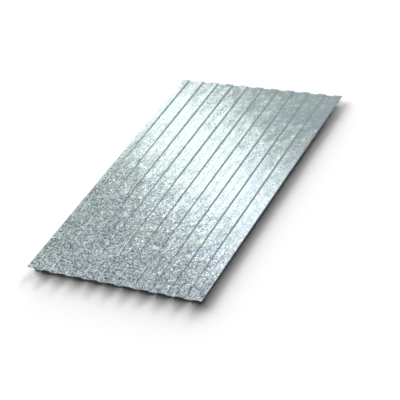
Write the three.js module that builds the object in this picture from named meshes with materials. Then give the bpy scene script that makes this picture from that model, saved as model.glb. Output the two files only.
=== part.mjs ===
// Profiled sheet of galvanised steel, roll-formed with shallow trapezoidal ribs.
//
// The sheet is one piece of stock and lies on its valleys with the ribs up. Sizes are in
// millimetres and +Z is up: X runs across the ribs and Y along them. The origin is the middle
// of the sheet's footprint, at the level of the floor it lies on.

import * as THREE from 'three';

// ---------------------------------------------------------------- driving dimensions

const SHEET_LENGTH = 2000; // along the ribs, sheared square at both ends
const SHEET_THICKNESS = 0.5; // steel and zinc together
const PROFILE_DEPTH = 8; // from the floor to the top of a rib, over both faces

const WAVES = 10; // whole waves across the sheet, which make its cover width
const WAVE_PITCH = 115; // from one rib to the next
const RIB_FLAT = 52.5; // top of a rib, between the corners of the bent plane
const FLANK_RUN = 5; // sideways travel of a flank over the whole depth

const LEFT_LAP_FLAT = 47.5; // the first rib's flat, which the next sheet's last rib covers
const RIGHT_LIP_RUN = 2.5; // the part of a flank that closes the last rib

const BEND_RADIUS = 3; // on the inside of every bend
const BEND_FACETS = 4; // flats in each bend, an even number

// ---------------------------------------------------------------- derived sizes

const MIDDLE = SHEET_THICKNESS / 2; // from a face to the middle plane
const FLANK_RISE = PROFILE_DEPTH - SHEET_THICKNESS; // between the middle planes
const FLANK_ANGLE = Math.atan2(FLANK_RISE, FLANK_RUN);
const VALLEY_FLAT = WAVE_PITCH - RIB_FLAT - 2 * FLANK_RUN;
const SHEET_WIDTH = LEFT_LAP_FLAT + WAVES * WAVE_PITCH + RIGHT_LIP_RUN;

// ---------------------------------------------------------------- section

// The middle plane of the section from its left edge to its right edge, with sharp corners.
function middleCorners() {
  const high = PROFILE_DEPTH - MIDDLE;
  const low = MIDDLE;
  const corners = [new THREE.Vector2(0, high)];
  for (let wave = 0; wave < WAVES; wave++) {
    const drop = LEFT_LAP_FLAT + wave * WAVE_PITCH;
    const valley = drop + FLANK_RUN;
    const rise = valley + VALLEY_FLAT;
    const rib = rise + FLANK_RUN;
    corners.push(new THREE.Vector2(drop, high), new THREE.Vector2(valley, low));
    corners.push(new THREE.Vector2(rise, low), new THREE.Vector2(rib, high));
  }
  // The lip follows a flank, and the outer edge of its slit end stands at the full width.
  const lipStart = LEFT_LAP_FLAT + WAVES * WAVE_PITCH;
  const lipRun = RIGHT_LIP_RUN - MIDDLE * Math.sin(FLANK_ANGLE);
  corners.push(new THREE.Vector2(lipStart, high));
  corners.push(new THREE.Vector2(lipStart + lipRun, high - lipRun * Math.tan(FLANK_ANGLE)));
  return corners;
}

// A point at a distance to the left of a place on the middle plane, seen along the heading.
function beside(place, heading, distance) {
  return new THREE.Vector2(-Math.sin(heading), Math.cos(heading)).multiplyScalar(distance).add(place);
}

// The bend at each inner corner: both faces turn about one centre, so the sheet keeps its
// thickness. A bend that the flank is too short for takes the largest radius that it holds.
function bendsAt(corners) {
  return corners.slice(1, -1).map((corner, index) => {
    const before = corner.clone().sub(corners[index]);
    const after = corners[index + 2].clone().sub(corner);
    const turn = after.angle() - before.angle();
    const angle = Math.atan2(Math.sin(turn), Math.cos(turn));
    const side = Math.sign(angle);
    const shorter = Math.min(before.length(), after.length(), FLANK_RISE / Math.sin(FLANK_ANGLE));
    const widest = shorter / 2 / Math.tan(Math.abs(angle) / 2);
    const radius = Math.min(BEND_RADIUS + MIDDLE, widest);
    const tangent = before.clone().setLength(-radius * Math.tan(Math.abs(angle) / 2)).add(corner);
    return {
      centre: beside(tangent, before.angle(), side * radius),
      radius,
      side,
      start: before.angle() - side * Math.PI / 2,
      end: after.angle() - side * Math.PI / 2,
    };
  });
}

// The closed outline of the sheet: up its left edge, along the upper face to the right edge
// and back along the lower face.
function sectionOutline() {
  const corners = middleCorners();
  const bends = bendsAt(corners);
  const [left, right] = [corners[0], corners.at(-1)];
  const outline = new THREE.Shape();
  const leftLower = beside(left, 0, -MIDDLE);
  const leftUpper = beside(left, 0, MIDDLE);
  const rightUpper = beside(right, -FLANK_ANGLE, MIDDLE);
  const rightLower = beside(right, -FLANK_ANGLE, -MIDDLE);
  outline.moveTo(leftLower.x, leftLower.y);
  outline.lineTo(leftUpper.x, leftUpper.y);
  for (const { centre, radius, side, start, end } of bends) {
    outline.absarc(centre.x, centre.y, radius - side * MIDDLE, start, end, side < 0);
  }
  outline.lineTo(rightUpper.x, rightUpper.y);
  outline.lineTo(rightLower.x, rightLower.y);
  for (const { centre, radius, side, start, end } of bends.toReversed()) {
    outline.absarc(centre.x, centre.y, radius + side * MIDDLE, end, start, side > 0);
  }
  outline.closePath();
  return outline;
}

// ---------------------------------------------------------------- sheet

const galvanisedSteel = new THREE.MeshStandardMaterial({
  color: '#aab7b9',
  metalness: 1,
  roughness: 0.45,
});

// The section is drawn across the sheet and drawn out along its ribs.
function profiledSheet() {
  const geometry = new THREE.ExtrudeGeometry(sectionOutline(), {
    depth: SHEET_LENGTH,
    bevelEnabled: false,
    curveSegments: BEND_FACETS / 2,
  });
  geometry.rotateX(Math.PI / 2);
  geometry.translate(-SHEET_WIDTH / 2, SHEET_LENGTH / 2, 0);
  const sheet = new THREE.Mesh(geometry, galvanisedSteel);
  sheet.name = 'profiled_sheet';
  return sheet;
}

const part = new THREE.Group();
part.add(profiledSheet());

export default part;
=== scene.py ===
import math

import bpy
import numpy as np
from mathutils import Matrix, Vector, noise


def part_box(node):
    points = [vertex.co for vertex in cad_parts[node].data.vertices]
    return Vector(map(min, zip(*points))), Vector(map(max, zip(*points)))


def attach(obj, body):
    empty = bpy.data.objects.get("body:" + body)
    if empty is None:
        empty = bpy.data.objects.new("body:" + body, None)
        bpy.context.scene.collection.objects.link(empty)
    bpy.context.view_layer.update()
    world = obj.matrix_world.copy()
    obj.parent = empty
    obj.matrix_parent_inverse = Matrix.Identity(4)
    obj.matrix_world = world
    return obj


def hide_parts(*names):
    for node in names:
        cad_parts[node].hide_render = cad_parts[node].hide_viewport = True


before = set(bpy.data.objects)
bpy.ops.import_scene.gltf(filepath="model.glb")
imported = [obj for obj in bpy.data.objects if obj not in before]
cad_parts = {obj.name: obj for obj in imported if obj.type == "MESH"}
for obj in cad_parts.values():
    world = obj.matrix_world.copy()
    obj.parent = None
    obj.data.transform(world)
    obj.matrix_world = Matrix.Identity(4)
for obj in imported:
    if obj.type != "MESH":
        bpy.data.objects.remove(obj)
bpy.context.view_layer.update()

# A profiled sheet of galvanised steel, ribs up, lying on its valleys on a pale studio floor.
# Lengths are in metres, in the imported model's own frame: X runs across the ribs, Y along them.

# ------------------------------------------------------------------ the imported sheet

SHEET_NODE = "profiled_sheet"
SHEET_BODY = "root"
sheet_low, sheet_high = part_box(SHEET_NODE)

# ------------------------------------------------------------------ rolled section

STEEL = 0.0005  # thickness, zinc included
WAVES = 10
WAVE_PITCH = 0.115
RIB_FLAT = 0.0525
FLANK_RUN = 0.005
LEFT_LAP_FLAT = 0.0475
RIGHT_LIP_RUN = 0.0025
BEND_RADIUS = 0.003  # on the inside of the bend
DEPTH = sheet_high.z - sheet_low.z
LENGTH = sheet_high.y - sheet_low.y
FLANK_RISE = DEPTH - STEEL
FLANK_ANGLE = math.atan2(FLANK_RISE, FLANK_RUN)

FLAT_STEPS = 12  # columns of faces across a flat, which crowd towards its bends
BEND_STEPS = 6  # columns of faces round a bend
LENGTH_STEPS = 72  # rows of faces along the sheet

# ------------------------------------------------------------------ waviness of the flats

BUCKLE = 0.00035  # the most that the middle of a flat springs out of its plane
BUCKLE_LENGTH = 0.42  # along the ribs, from one buckle to the next
BUCKLE_WIDTH = 0.19  # across the ribs, from one to the next
BUCKLE_EDGE = 1.6  # how sharply a sprung stretch ends


class Section:
    """The middle line of the rolled section, walked from the left edge to the right edge.

    Each station is (x, z, heading, travelled, flatness): flatness is 1 in the middle of a flat and
    0 on its bends, and is negative where the flat is a valley. folds holds how far along the line
    the middle of each flank is.
    """

    def __init__(self):
        self.stations, self.folds = [], []
        self.x, self.z = sheet_low.x, sheet_high.z - STEEL / 2
        self.heading, self.travelled = 0.0, 0.0
        self.mark(0.0)

    def mark(self, flatness):
        self.stations.append((self.x, self.z, self.heading, self.travelled, flatness))

    def straight(self, length, steps=1, side=0):
        """A straight run. side is 1 on a rib flat and -1 in a valley, and 0 on a flank."""
        gone = 0.0
        for step in range(1, steps + 1):
            share = (1 - math.cos(math.pi * step / steps)) / 2
            ahead = (share - gone) * length
            gone = share
            self.x += ahead * math.cos(self.heading)
            self.z += ahead * math.sin(self.heading)
            self.travelled += ahead
            self.mark(side * math.sin(math.pi * share) ** 2)

    def flank(self, length):
        self.folds.append(self.travelled + length / 2)
        self.straight(length)

    def bend(self, turn):
        """A bend through an angle, positive to the left, with both faces on one centre."""
        radius = BEND_RADIUS + STEEL / 2
        step = turn / BEND_STEPS
        chord = 2 * radius * math.sin(abs(step) / 2)
        for _ in range(BEND_STEPS):
            self.x += chord * math.cos(self.heading + step / 2)
            self.z += chord * math.sin(self.heading + step / 2)
            self.heading += step
            self.travelled += radius * abs(step)
            self.mark(0.0)


def rolled_section():
    """The whole section: ten waves between the flat underlap and the lip."""
    setback = (BEND_RADIUS + STEEL / 2) * math.tan(FLANK_ANGLE / 2)
    flank = FLANK_RISE / math.sin(FLANK_ANGLE) - 2 * setback
    valley = WAVE_PITCH - RIB_FLAT - 2 * FLANK_RUN - 2 * setback
    rib = RIB_FLAT - 2 * setback
    section = Section()
    section.straight(LEFT_LAP_FLAT - setback, FLAT_STEPS, 1)
    for _ in range(WAVES):
        section.bend(-FLANK_ANGLE)
        section.flank(flank)
        section.bend(FLANK_ANGLE)
        section.straight(valley, FLAT_STEPS, -1)
        section.bend(FLANK_ANGLE)
        section.flank(flank)
        section.bend(-FLANK_ANGLE)
        section.straight(rib, FLAT_STEPS, 1)
    lip_run = RIGHT_LIP_RUN - STEEL / 2 * math.sin(FLANK_ANGLE)
    section.bend(-FLANK_ANGLE)
    section.straight(lip_run / math.cos(FLANK_ANGLE) - setback)
    return section


SECTION = rolled_section()
FOLDS = SECTION.folds  # a drop from a rib to a valley, then the rise to the next rib, and so on
FOLD_PITCH = FOLDS[2] - FOLDS[0]


def spring(x, y, flatness):
    """How far a flat springs inwards from its plane here: ribs sink a little and valleys lift."""
    ripple = noise.noise(Vector((x / BUCKLE_WIDTH, y / BUCKLE_LENGTH, 0)))
    swing = max(-1.0, min(1.0, BUCKLE_EDGE * ripple))
    return -BUCKLE * flatness * (1 + swing) / 2


# ------------------------------------------------------------------ sheet mesh

COIL_MAP = "coil"  # the sheet rolled out flat again, in metres
BAKE_MAP = "OFBake"  # the same, both faces side by side in the unit square
UNDERSIDE_SHIFT = LENGTH + 0.1  # keeps the underside's crystals apart from the upper face's
MAP_GAP = 0.01  # margin round each face on that map, half of it for the cut edges
CUT_EDGE_SLOT = 1


def rolled_sheet(zinc, cut_edge):
    """The sheet as one closed mesh: an upper and a lower face, and the cut edge round them."""
    stations = SECTION.stations
    across, rows = len(stations), LENGTH_STEPS + 1
    developed = stations[-1][3]
    ys = [sheet_low.y + LENGTH * row / LENGTH_STEPS for row in range(rows)]
    verts, coil = [], []
    for face in (1, -1):
        for y in ys:
            for x, z, heading, travelled, flatness in stations:
                off = face * STEEL / 2
                height = z + off * math.cos(heading) + spring(x, y, flatness)
                verts.append((x - off * math.sin(heading), y, max(height, sheet_low.z)))
                coil.append((travelled, y - sheet_low.y))
    under = across * rows

    def at(row, column):
        return row * across + column

    faces, slots, corners = [], [], []
    scale = 1 / (2 * developed + 4 * MAP_GAP)

    def bake_place(corner):
        along, up = coil[corner]
        side = MAP_GAP if corner < under else 3 * MAP_GAP + developed
        return ((side + along) * scale, (MAP_GAP + up) * scale)

    def coil_place(corner):
        along, up = coil[corner]
        return (along, up if corner < under else up + UNDERSIDE_SHIFT)

    def add(loop, slot, shift=(0, 0)):
        """One face. shift moves its lower corners on the maps, so that a cut edge has a width."""
        faces.append(loop)
        slots.append(slot)
        for corner in loop:
            if slot == CUT_EDGE_SLOT and corner >= under:
                upper = corner - under
                place = [a + b for a, b in zip(bake_place(upper), [s * scale for s in shift])]
                strip = [a + b for a, b in zip(coil_place(upper), [s / MAP_GAP * STEEL for s in shift])]
                corners.append((strip, place))
            else:
                corners.append((coil_place(corner), bake_place(corner)))

    for row in range(rows - 1):
        for column in range(across - 1):
            loop = [at(row, column), at(row, column + 1), at(row + 1, column + 1), at(row + 1, column)]
            add(loop, 0)
            add([under + corner for corner in reversed(loop)], 0)
    half = MAP_GAP / 2
    for column in range(across - 1):
        near, far = [at(0, column), at(0, column + 1)], [at(rows - 1, column), at(rows - 1, column + 1)]
        add([near[1], near[0], under + near[0], under + near[1]], CUT_EDGE_SLOT, (0, -half))
        add([far[0], far[1], under + far[1], under + far[0]], CUT_EDGE_SLOT, (0, half))
    for row in range(rows - 1):
        left, right = [at(row, 0), at(row + 1, 0)], [at(row, across - 1), at(row + 1, across - 1)]
        add([left[0], left[1], under + left[1], under + left[0]], CUT_EDGE_SLOT, (-half, 0))
        add([right[1], right[0], under + right[0], under + right[1]], CUT_EDGE_SLOT, (half, 0))

    mesh = bpy.data.meshes.new("rolled_sheet")
    mesh.from_pydata(verts, [], faces)
    for name, pick in ((COIL_MAP, 0), (BAKE_MAP, 1)):
        layer = mesh.uv_layers.new(name=name)
        layer.uv.foreach_set("vector", np.array([c[pick] for c in corners], np.float32).ravel())
    mesh.uv_layers.active = mesh.uv_layers[COIL_MAP]
    mesh.polygons.foreach_set("material_index", slots)
    mesh.polygons.foreach_set("use_smooth", [True] * len(faces))
    mesh.materials.append(zinc)
    mesh.materials.append(cut_edge)
    mesh.update()
    border = {frozenset(pair) for face, slot in zip(faces, slots) if slot == CUT_EDGE_SLOT
              for pair in zip(face, face[1:] + face[:1])}
    for edge in mesh.edges:
        edge.use_edge_sharp = frozenset(edge.vertices) in border
    sheet = bpy.data.objects.new("rolled_sheet", mesh)
    bpy.context.scene.collection.objects.link(sheet)
    return sheet


# ------------------------------------------------------------------ shader arithmetic

# How ragged a noise is: how many finer noises are laid over its main bumps.
SMOOTH = 1.0
UNEVEN = 2.0
RAGGED = 3.0

MIDDLE = 0.5  # of a noise or a random value


class Wire:
    """One socket of a finish. Arithmetic on it, with numbers or with other sockets, adds Math nodes."""

    def __init__(self, finish, socket):
        self.finish, self.socket = finish, socket

    def __add__(self, other):
        return self.finish.maths("ADD", self, other)

    def __sub__(self, other):
        return self.finish.maths("SUBTRACT", self, other)

    def __rsub__(self, other):
        return self.finish.maths("SUBTRACT", other, self)

    def __mul__(self, other):
        return self.finish.maths("MULTIPLY", self, other)

    def __truediv__(self, other):
        return self.finish.maths("DIVIDE", self, other)

    __radd__ = __add__
    __rmul__ = __mul__

    def sine(self):
        return self.finish.maths("SINE", self)

    def cosine(self):
        return self.finish.maths("COSINE", self)

    def __abs__(self):
        return self.finish.maths("ABSOLUTE", self)

    def eased(self, low, high):
        """0 below low and 1 above high, with a soft step between them."""
        settings = {"interpolation_type": "SMOOTHSTEP"}
        links = {"Value": self, "From Min": low, "From Max": high}
        return self.finish.node("ShaderNodeMapRange", settings, links)["Result"]


class Finish:
    """The nodes of a new material, or of a lamp or the world where one is given, as they are made."""

    def __init__(self, name, holder=None):
        self.holder = holder or bpy.data.materials.new(name)
        self.holder.use_nodes = True
        self.tree = self.holder.node_tree
        self.tree.nodes.clear()

    def node(self, kind, settings=None, links=None):
        """Adds a node: its settings first, then a value or a wire for each named or numbered input."""
        made = self.tree.nodes.new(kind)
        for name, value in (settings or {}).items():
            setattr(made, name, value)
        for name, value in (links or {}).items():
            if isinstance(value, Wire):
                self.tree.links.new(value.socket, made.inputs[name])
            else:
                made.inputs[name].default_value = value
        return {out.name: Wire(self, out) for out in made.outputs if out.enabled}

    def maths(self, operation, *inputs):
        return self.node("ShaderNodeMath", {"operation": operation}, dict(enumerate(inputs)))["Value"]

    def vector(self, operation, *inputs, **extra):
        links = dict(enumerate(inputs)) | extra
        found = self.node("ShaderNodeVectorMath", {"operation": operation}, links)
        return found["Value"] if "Value" in found else found["Vector"]

    def blend(self, factor, first, second, how="MIX"):
        """A mix of two colours, whose sockets are the sixth and seventh after the factor's."""
        settings = {"data_type": "RGBA", "blend_type": how}
        return self.node("ShaderNodeMix", settings, {0: factor, 6: first, 7: second})["Result"]

    def split(self, place):
        """The X and Y of a vector."""
        parts = self.node("ShaderNodeSeparateXYZ", None, {"Vector": place})
        return parts["X"], parts["Y"]

    def joined(self, x, y):
        return self.node("ShaderNodeCombineXYZ", None, {"X": x, "Y": y})["Vector"]

    def noise(self, place, size, detail=UNEVEN, start=None):
        """Soft noise around 0.5, with bumps about as far apart as the size. start is added to the place."""
        if start:
            place = self.vector("ADD", place, start)
        links = {"Vector": place, "Scale": 1 / size, "Detail": detail}
        return self.node("ShaderNodeTexNoise", {"noise_dimensions": "2D"}, links)["Fac"]

    def cells(self, place, size, feature="F1"):
        """Angular cells of about the size: three random values for each, or how far its edge is."""
        settings = {"voronoi_dimensions": "2D", "feature": feature}
        made = self.node("ShaderNodeTexVoronoi", settings, {"Vector": place, "Scale": 1 / size})
        if feature == "DISTANCE_TO_EDGE":
            return made["Distance"]
        chance = self.node("ShaderNodeSeparateColor", None, {"Color": made["Color"]})
        return chance["Red"], chance["Green"], chance["Blue"]

    def close(self, shader):
        """Ends a material with its shader."""
        self.node("ShaderNodeOutputMaterial", None, {"Surface": shader})
        return self.holder


def rgb(red, green, blue):
    """A colour from 0 to 255 as a screen shows it, as the shaders take it."""
    def linear(level):
        level /= 255
        return level / 12.92 if level <= 0.04045 else ((level + 0.055) / 1.055) ** 2.4
    return (linear(red), linear(green), linear(blue), 1.0)


# ------------------------------------------------------------------ finishes

# Crystals, in metres.
CRYSTAL = 0.0076  # across a small one
CRYSTAL_WARP = 0.5  # how far its edges wander, in crystals
CRYSTAL_WARP_SIZE = 0.83  # from one bend of an edge to the next, in crystals
SEAM = 0.06  # the half-width of the seam between two, in crystals
FACET = 0.0075  # across a patch of crystals that lean one way
BLOOM = 0.028  # across a large one, which holds its dendrites
DENDRITE = 0.0042  # from one dendrite to the next
DENDRITE_DRAW = 4.0  # how much longer than wide a dendrite is
DENDRITE_EDGE = (0.48, 0.72)  # levels of its noise between which a dendrite's edge lies
RIPPLE = 0.0012  # between the fine lines along a dendrite

# Slower changes of the coating, in metres.
PATCH = 0.045  # across a patch of livelier or calmer spangle
MOTTLE = 0.03  # across a faint blotch, which shows where the spangle has settled
CLOUD = 0.24  # across a stain
HUE = 0.17  # across a stretch that is greener or bluer
BLUSH = 0.06  # across a warmer spot
WAVER = 0.07  # across a slight swell of the surface
WAVER_DRAW = 0.6  # width of a swell over its length along the sheet
SETTLING = (0.05, 1.0)  # shares of the length between which the spangle settles down
SETTLING_ACROSS = 0.65  # what a metre towards the right edge counts for, against one along the sheet

# Where the sheet's own part of each pattern starts, in metres.
CLOUD_START = (12.76, 39.97, 0.0)
PATCH_START = (27.38, 7.97, 0.0)
HUE_START = (7.0, 3.0, 0.0)
BLUSH_START = (2.0, 9.0, 0.0)
WAVER_START = (18.29, 11.13, 0.0)
WAVER_CROSS = (23.29, 16.13, 0.0)  # for the swells that lean along the sheet

# Shades run from 0 for dark zinc to 1 for pale. A tone is how much its pattern changes the shade.
ZINC_SHADE = 0.503  # where nothing changes it
CRYSTAL_TONE = 0.85
DENDRITE_TONE = 0.7
DENDRITE_SHARE = 0.20  # of the surface, taken up by dendrites
BLOOM_TONE = 0.12
RIPPLE_TONE = 0.08
CLOUD_TONE = 0.3
PATCH_TONE = 0.25
MOTTLE_TONE = 0.4
SETTLED_LIFT = 0.024  # how much paler the settled end is
CALM_PATCH = (0.42, 0.56)  # levels of the patch noise between which the spangle turns lively
CALM_SHIFT = 0.05  # how far those levels rise at the settled end
LIVELY = 1.3  # contrast of the spangle at the near end
LIVELY_FADE = 0.82  # what it loses towards the settled end
CALMED = 0.1  # share of the contrast that a calm patch takes away
CALMED_GAIN = 0.45  # what that share gains towards the settled end
RESTLESS = 1.15  # this and the next three are the same, for how far the crystals lean
RESTLESS_FADE = 0.35
STILLED = 0.15
STILLED_GAIN = 0.45

ZINC_DARK = rgb(78, 88, 90)
ZINC_MID = rgb(152, 164, 166)
ZINC_PALE = rgb(219, 227, 229)
# Painted highlight along the rib edges.
EDGE_HIGHLIGHT_COLOUR = rgb(238, 246, 247)
# Painted shade laid along the folds.
FOLD_SHADE_COLOUR = rgb(36, 42, 43)
DARK_SHADES = (-0.1, 0.5)  # shades from the dark zinc to the middle one
PALE_SHADES = (0.5, 1.1)  # shades from the middle zinc to the pale one
PALE_FADE = 0.45  # share of the pale zinc lost at the settled end
ZINC_GREENISH = rgb(249, 255, 251)
ZINC_BLUISH = rgb(245, 250, 255)
ZINC_WARM = rgb(255, 250, 250)
HUE_LEVELS = (0.33, 0.70)  # levels of the hue noise from greenish to bluish
HUE_ACROSS = 0.35  # what a metre towards the right edge adds to that noise
HUE_ALONG = 0.42  # what the settled end takes from it
BLUSH_LEVELS = (0.5, 0.68)  # levels of its noise between which a warm spot sets in
BLUSH_SHARE = 0.5  # how warm it gets

# Leans are slopes, out of the sheet's own plane.
LEAN = 0.15  # from the one side to the other of the usual crystals' range
ODD_LEAN = 0.08  # how much wider that is for the odd ones
ODD_ONES = (0.5, 0.7)  # lengths of a crystal's random lean between which it turns odd
WAVER_LEAN = 0.12  # the range of the swells

ZINC_ROUGHNESS = 0.15  # of a usual crystal
BLOOM_ROUGHNESS = 0.06  # from the smoothest large crystal to the roughest
RIPPLE_ROUGHNESS = 0.02  # from the bottom of a ripple to its top
DROP_LINE_ROUGHNESS = 0.12  # what the painted shade line of a drop adds
RELIEF = 0.0002  # height of the crystals' relief, in metres
RELIEF_STRENGTH = 0.12
RIPPLE_RELIEF = 0.5  # of a dendrite's height

# Painted shade along the folds and a painted highlight along each rib's edge, in metres from the middle of
# the flank.
DROP_NEAR = 0.0045  # where the drop's painted shade line lies at the near end
DROP_FAR = -0.006  # and at the far end
DROP_SHIFT = (0.1, 0.9)  # shares of the length between which it moves over
DROP_REACH = 0.0040  # from the middle of the dark line to where it starts to fade
DROP_TONE = 0.22
RISE_REACH = 0.0075  # the same for the painted shade line along each rise, which keeps its place
RISE_TONE = 0.25
RISE_FADE = 0.85  # share of the rise's line lost at the settled end
FOLD_FADE = 0.0030  # over which either line fades out
FOLD_SHADE_ACROSS = 0.9  # what a metre across adds to the reach of the painted shade, 0 at the near left corner
FOLD_SHADE_ALONG = 0.35  # and a metre along
FOLD_SHADE_LEVELS = (0.1, 0.75)  # levels of that reach between which the painted shade sets in
HIGHLIGHT_PLACE = -0.0045  # the painted highlight along the edge of a rib
HIGHLIGHT_WIDTH = 0.0035
HIGHLIGHT_TONE = 0.72
DASH_SIZE = (0.016, 0.07)  # of one dash of painted highlight, across and along
DASH_LEVELS = (0.46, 0.62)  # levels of the dash noise between which a dash of painted highlight sets in
DASH_SHADE = 0.5  # share of the painted shade laid beside a dash of painted highlight


def crystals(zinc, place):
    """Small crystals: the tone of each, the lean of the facet it stands in, and the seams."""
    tone = zinc.cells(place, CRYSTAL)[0]
    lean_x, lean_y, _ = zinc.cells(place, FACET)
    seam = 1 - zinc.cells(place, CRYSTAL, "DISTANCE_TO_EDGE").eased(0.0, SEAM)
    return tone, zinc.joined(lean_x - MIDDLE, lean_y - MIDDLE), seam


def blooms(zinc, place, across, along):
    """Large crystals: the tone of each, and the dendrites and fine ripple that run its own way."""
    tone, chance, shift = zinc.cells(place, BLOOM)
    turn = chance * (2 * math.pi)
    lengthways = across * turn.cosine() + along * turn.sine()
    crossways = along * turn.cosine() - across * turn.sine()
    strand = zinc.joined(crossways + shift, lengthways / DENDRITE_DRAW)
    dendrite = zinc.noise(strand, DENDRITE, SMOOTH).eased(*DENDRITE_EDGE)
    ripple = (crossways * (2 * math.pi / RIPPLE)).sine() * 0.5 + 0.5
    return tone, dendrite, ripple


def tints(zinc, coil, across, settling):
    """The faint greens and blues of a zinc coating, with warmer spots."""
    hue = zinc.noise(coil, HUE, start=HUE_START) - settling * HUE_ALONG
    tint = zinc.blend((hue + across * HUE_ACROSS).eased(*HUE_LEVELS), ZINC_GREENISH, ZINC_BLUISH)
    blush = zinc.noise(coil, BLUSH, RAGGED, BLUSH_START).eased(*BLUSH_LEVELS)
    return zinc.blend(blush * BLUSH_SHARE, tint, ZINC_WARM)


def fold_shade_and_highlight(zinc, colour, across, along, settling):
    """Painted shade along the folds and a painted highlight along each rib's edge, in dashes. Returns the
    colour and the drop's shade line.
    """
    past_drop = zinc.maths("WRAP", across - FOLDS[0], FOLD_PITCH / 2, -FOLD_PITCH / 2)
    past_rise = zinc.maths("WRAP", across - FOLDS[1], FOLD_PITCH / 2, -FOLD_PITCH / 2)
    shift = (along / LENGTH).eased(*DROP_SHIFT) * (DROP_NEAR - DROP_FAR)
    from_drop = abs(past_drop - DROP_NEAR + shift)
    drop_shade = 1 - from_drop.eased(DROP_REACH, DROP_REACH + FOLD_FADE)
    rise_shade = 1 - abs(past_rise).eased(RISE_REACH, RISE_REACH + FOLD_FADE)
    fold_shading = (across * FOLD_SHADE_ACROSS + along * FOLD_SHADE_ALONG).eased(*FOLD_SHADE_LEVELS)
    dash_place = zinc.joined(across / DASH_SIZE[0], along / DASH_SIZE[1])
    dashes = zinc.noise(dash_place, 1.0).eased(*DASH_LEVELS)
    edge_highlight = 1 - abs(past_drop - HIGHLIGHT_PLACE).eased(HIGHLIGHT_WIDTH / 2, HIGHLIGHT_WIDTH)
    drop_shading = zinc.maths("MAXIMUM", fold_shading, dashes * DASH_SHADE)
    # Painted shade along the rises and the drops, then a painted highlight along each rib's edge.
    colour = zinc.blend(rise_shade * fold_shading * (1 - settling * RISE_FADE) * RISE_TONE, colour, FOLD_SHADE_COLOUR)
    colour = zinc.blend(drop_shade * drop_shading * DROP_TONE, colour, FOLD_SHADE_COLOUR)
    colour = zinc.blend(edge_highlight * dashes * (1 - settling) * HIGHLIGHT_TONE, colour, EDGE_HIGHLIGHT_COLOUR)
    return colour, drop_shade


def leant_surface(zinc, lean, across, along, restless):
    """The surface's direction, with each crystal's face leaning its own way over slow swells."""
    odd = zinc.vector("LENGTH", lean).eased(*ODD_ONES)
    crystal = zinc.vector("SCALE", lean, Scale=(odd * ODD_LEAN + LEAN) * restless)
    drift = zinc.joined(across, along * WAVER_DRAW)
    swell_x = zinc.noise(drift, WAVER, start=WAVER_START) - MIDDLE
    swell_y = zinc.noise(drift, WAVER, start=WAVER_CROSS) - MIDDLE
    swell = zinc.joined(swell_x * WAVER_LEAN, swell_y * WAVER_LEAN)
    upright = zinc.node("ShaderNodeNewGeometry")["Normal"]
    leaning = zinc.vector("ADD", upright, zinc.vector("ADD", crystal, swell))
    return zinc.vector("NORMALIZE", leaning)


def spangled_zinc():
    """Hot-dip zinc: large crystals of dendrites with small ones between, livelier at the near end, with
    painted shade along the folds and a painted highlight on the rib edges.
    """
    zinc = Finish("spangled_zinc")
    coil = zinc.node("ShaderNodeUVMap", {"uv_map": COIL_MAP})["UV"]
    across, along = zinc.split(coil)
    settling = ((along + across * SETTLING_ACROSS) / LENGTH).eased(*SETTLING)

    warp_links = {"Vector": coil, "Scale": 1 / (CRYSTAL * CRYSTAL_WARP_SIZE), "Detail": UNEVEN}
    warp = zinc.node("ShaderNodeTexNoise", {"noise_dimensions": "2D"}, warp_links)["Color"]
    pushed = zinc.vector("SUBTRACT", warp, (MIDDLE,) * 3)
    place = zinc.vector("MULTIPLY_ADD", pushed, (CRYSTAL_WARP * CRYSTAL,) * 3, coil)
    tone, lean, seam = crystals(zinc, place)
    bloom_tone, dendrite, ripple = blooms(zinc, place, across, along)

    patch = zinc.noise(coil, PATCH, start=PATCH_START)
    mottle = zinc.noise(coil, MOTTLE)
    cloud = zinc.noise(coil, CLOUD, RAGGED, CLOUD_START)
    calm = 1 - (patch - settling * CALM_SHIFT).eased(*CALM_PATCH)
    lively = (LIVELY - LIVELY_FADE * settling) * (1 - calm * (CALMED + CALMED_GAIN * settling))
    restless = (RESTLESS - RESTLESS_FADE * settling) * (1 - calm * (STILLED + STILLED_GAIN * settling))

    grain = (tone - MIDDLE) * CRYSTAL_TONE + (dendrite - DENDRITE_SHARE) * DENDRITE_TONE
    grain = grain + (bloom_tone - MIDDLE) * BLOOM_TONE
    stain = (cloud - MIDDLE) * CLOUD_TONE + (patch - MIDDLE) * PATCH_TONE
    stain = stain + (mottle - MIDDLE) * MOTTLE_TONE * settling + (ripple - MIDDLE) * RIPPLE_TONE
    shade = grain * lively + stain + settling * SETTLED_LIFT + ZINC_SHADE
    darker = zinc.blend(shade.eased(*DARK_SHADES), ZINC_DARK, ZINC_MID)
    colour = zinc.blend(shade.eased(*PALE_SHADES) * (1 - settling * PALE_FADE), darker, ZINC_PALE)
    colour = zinc.blend(1.0, colour, tints(zinc, coil, across, settling), "MULTIPLY")
    # Painted shade along the folds and a painted highlight along the rib edges.
    colour, drop_shade = fold_shade_and_highlight(zinc, colour, across, along, settling)

    roughness = ZINC_ROUGHNESS + (bloom_tone - MIDDLE) * BLOOM_ROUGHNESS
    roughness = roughness + (ripple - MIDDLE) * RIPPLE_ROUGHNESS + drop_shade * DROP_LINE_ROUGHNESS
    leant = leant_surface(zinc, lean, across, along, restless)
    height = ripple * RIPPLE_RELIEF + dendrite - seam
    relief_links = {"Strength": RELIEF_STRENGTH, "Distance": RELIEF, "Height": height, "Normal": leant}
    relief = zinc.node("ShaderNodeBump", None, relief_links)["Normal"]
    shader = zinc.node("ShaderNodeBsdfPrincipled", None, {
        "Base Color": colour, "Metallic": 1.0, "Roughness": roughness, "Normal": relief})
    return zinc.close(shader["BSDF"])


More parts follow.
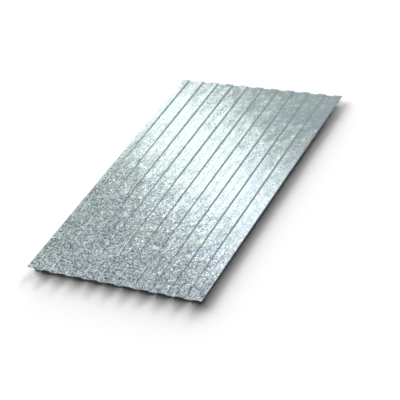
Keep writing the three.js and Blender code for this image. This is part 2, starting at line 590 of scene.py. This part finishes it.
SHEAR_MARK = 0.0011  # across one drag mark, in metres
SHEAR_LEVELS = (0.35, 0.65)  # levels of the drag noise from dark steel to pale
SHEAR_ROUGHNESS = 0.25  # where the shear polished the edge
SHEAR_ROUGHENING = 0.3  # what it gains where the edge is torn
STEEL_DARK = rgb(107, 117, 118)
STEEL_PALE = rgb(158, 169, 171)


def sheared_steel():
    """The cut edge: bare steel with the zinc smeared over it by the shear."""
    steel = Finish("sheared_steel")
    coil = steel.node("ShaderNodeUVMap", {"uv_map": COIL_MAP})["UV"]
    drag = steel.noise(coil, SHEAR_MARK, RAGGED)
    colour = steel.blend(drag.eased(*SHEAR_LEVELS), STEEL_DARK, STEEL_PALE)
    roughness = drag * SHEAR_ROUGHENING + SHEAR_ROUGHNESS
    shader = steel.node("ShaderNodeBsdfPrincipled", None, {
        "Base Color": colour, "Metallic": 1.0, "Roughness": roughness})
    return steel.close(shader["BSDF"])


# ------------------------------------------------------------------ studio

FLOOR_SIZE = 400.0  # each way
FLOOR_DROP = 0.0002  # keeps the floor just under the valleys
FLOOR_WHITE = 0.92  # share of the light that it returns
FLOOR_FILL = 0.008  # what it gives of itself to the camera and to metal
SKY_FILL = 0.03  # what the world gives to matt surfaces
KEY_SHARE = 1.07  # what the low key gives to a level matt surface
KEY_STRETCHES = 9
KEY_AZIMUTHS = (math.radians(95), math.radians(160))  # of its first and last, anticlockwise from +X
KEY_ELEVATIONS = (math.radians(1.5), math.radians(3.4))  # of the same two
KEY_SOFTNESS = math.radians(5.5)  # how wide each looks from the sheet

BAND_HEIGHT = 2.5
BAND_CENTRE = (-2.441, 3.374)
BAND_SIZE = (6.91, 1.91)  # its length and its width
BAND_TURN = math.radians(-40.3)  # of its length, anticlockwise from +X
BAND_POWER = 199.0  # watts
BAND_COLOUR = (1.0, 0.93, 0.935)
BAND_END = 0.338  # share of its length over which it fades at each end
BAND_SIDE = 0.794  # share of its width over which it fades from each side


def shown_directly(finish):
    """1 for rays from the camera, from metal or through glass, and 0 for rays from matt surfaces."""
    path = finish.node("ShaderNodeLightPath")
    return path["Is Camera Ray"] + path["Is Glossy Ray"] + path["Is Transmission Ray"]


def studio_floor():
    """A large pale floor that keeps shadows and runs into the white of the background."""
    finish = Finish("studio_floor")
    matt = finish.node("ShaderNodeBsdfDiffuse", None, {"Color": (FLOOR_WHITE,) * 3 + (1,)})["BSDF"]
    direct = shown_directly(finish)
    glow = finish.node("ShaderNodeEmission", None, {"Strength": direct * FLOOR_FILL})["Emission"]
    both = finish.node("ShaderNodeAddShader", None, {0: matt, 1: glow})["Shader"]
    material = finish.close(both)
    half = FLOOR_SIZE / 2
    corners = [(-half, -half, 0), (half, -half, 0), (half, half, 0), (-half, half, 0)]
    mesh = bpy.data.meshes.new("studio_floor")
    mesh.from_pydata(corners, [], [(0, 1, 2, 3)])
    mesh.materials.append(material)
    floor = bpy.data.objects.new("studio_floor", mesh)
    floor.location.z = sheet_low.z - FLOOR_DROP
    bpy.context.scene.collection.objects.link(floor)


def white_surround():
    """The world: white to the camera and in reflections, and a faint fill on matt surfaces."""
    world = bpy.data.worlds.new("white_surround")
    bpy.context.scene.world = world
    sky = Finish("white_surround", world)
    strength = shown_directly(sky) * (1 - SKY_FILL) + SKY_FILL
    light = sky.node("ShaderNodeBackground", None, {"Color": (1, 1, 1, 1), "Strength": strength})
    sky.node("ShaderNodeOutputWorld", None, {"Surface": light["Background"]})


def lamp(name, kind, **settings):
    """A lamp of the kind, unseen by the camera."""
    data = bpy.data.lights.new(name, kind)
    for key, value in settings.items():
        setattr(data, key, value)
    made = bpy.data.objects.new(name, data)
    bpy.context.scene.collection.objects.link(made)
    made.visible_camera = False
    return made


def between(ends, share):
    """The value a share of the way from the first end to the second."""
    return ends[0] + (ends[1] - ends[0]) * share


def key_light(stretch):
    """One stretch of a long soft box, low behind the sheet, which lays the shadow along its near edges."""
    share = stretch / (KEY_STRETCHES - 1)
    azimuth, elevation = between(KEY_AZIMUTHS, share), between(KEY_ELEVATIONS, share)
    power = KEY_SHARE / KEY_STRETCHES * math.pi / math.sin(elevation)
    key = lamp(f"key_light_{stretch}", "SUN", energy=power, angle=KEY_SOFTNESS)
    level = math.cos(elevation)
    away = Vector((math.cos(azimuth) * level, math.sin(azimuth) * level, math.sin(elevation)))
    key.rotation_mode = "QUATERNION"
    key.rotation_quaternion = away.to_track_quat("Z", "Y")
    key.visible_glossy = False


def band_light():
    """A long soft box overhead, whose reflection crosses the sheet as a slanting band."""
    band = lamp("band_light", "AREA", shape="RECTANGLE", size=BAND_SIZE[0], size_y=BAND_SIZE[1],
                energy=BAND_POWER, color=BAND_COLOUR)
    band.location = (*BAND_CENTRE, BAND_HEIGHT)
    band.rotation_euler.z = BAND_TURN
    band.visible_diffuse = False
    glow = Finish("band_glow", band.data)
    along, over = glow.split(glow.node("ShaderNodeNewGeometry")["Parametric"])
    ends = along.eased(0.0, BAND_END) * (1 - along.eased(1 - BAND_END, 1.0))
    sides = over.eased(0.0, BAND_SIDE) * (1 - over.eased(1 - BAND_SIDE, 1.0))
    light = glow.node("ShaderNodeEmission", None, {"Strength": ends * sides})
    glow.node("ShaderNodeOutputLight", None, {"Surface": light["Emission"]})


# ------------------------------------------------------------------ camera

CAMERA_PLACE = Vector((4.0308, -5.2952, 4.7237))
CAMERA_AIM = Vector((0.1598, -0.1847, 0.004))
CAMERA_ROLL = math.radians(15.3886)
CAMERA_LENS = 118.1007  # millimetres
CAMERA_SENSOR = 36.0  # millimetres across


def studio_camera():
    """The camera, high up beyond the sheet's near right corner and looking down on it."""
    data = bpy.data.cameras.new("studio_camera")
    data.lens, data.sensor_width = CAMERA_LENS, CAMERA_SENSOR
    camera = bpy.data.objects.new("studio_camera", data)
    bpy.context.scene.collection.objects.link(camera)
    looking = (CAMERA_AIM - CAMERA_PLACE).to_track_quat("-Z", "Y").to_matrix().to_4x4()
    camera.matrix_world = Matrix.Translation(CAMERA_PLACE) @ looking @ Matrix.Rotation(-CAMERA_ROLL, 4, "Z")
    bpy.context.scene.camera = camera


# ------------------------------------------------------------------ scene

studio_camera()
studio_floor()
white_surround()
for stretch in range(KEY_STRETCHES):
    key_light(stretch)
band_light()
sheet = rolled_sheet(spangled_zinc(), sheared_steel())
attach(sheet, SHEET_BODY)
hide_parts(SHEET_NODE)
bpy.context.scene.view_settings.view_transform = "Standard"
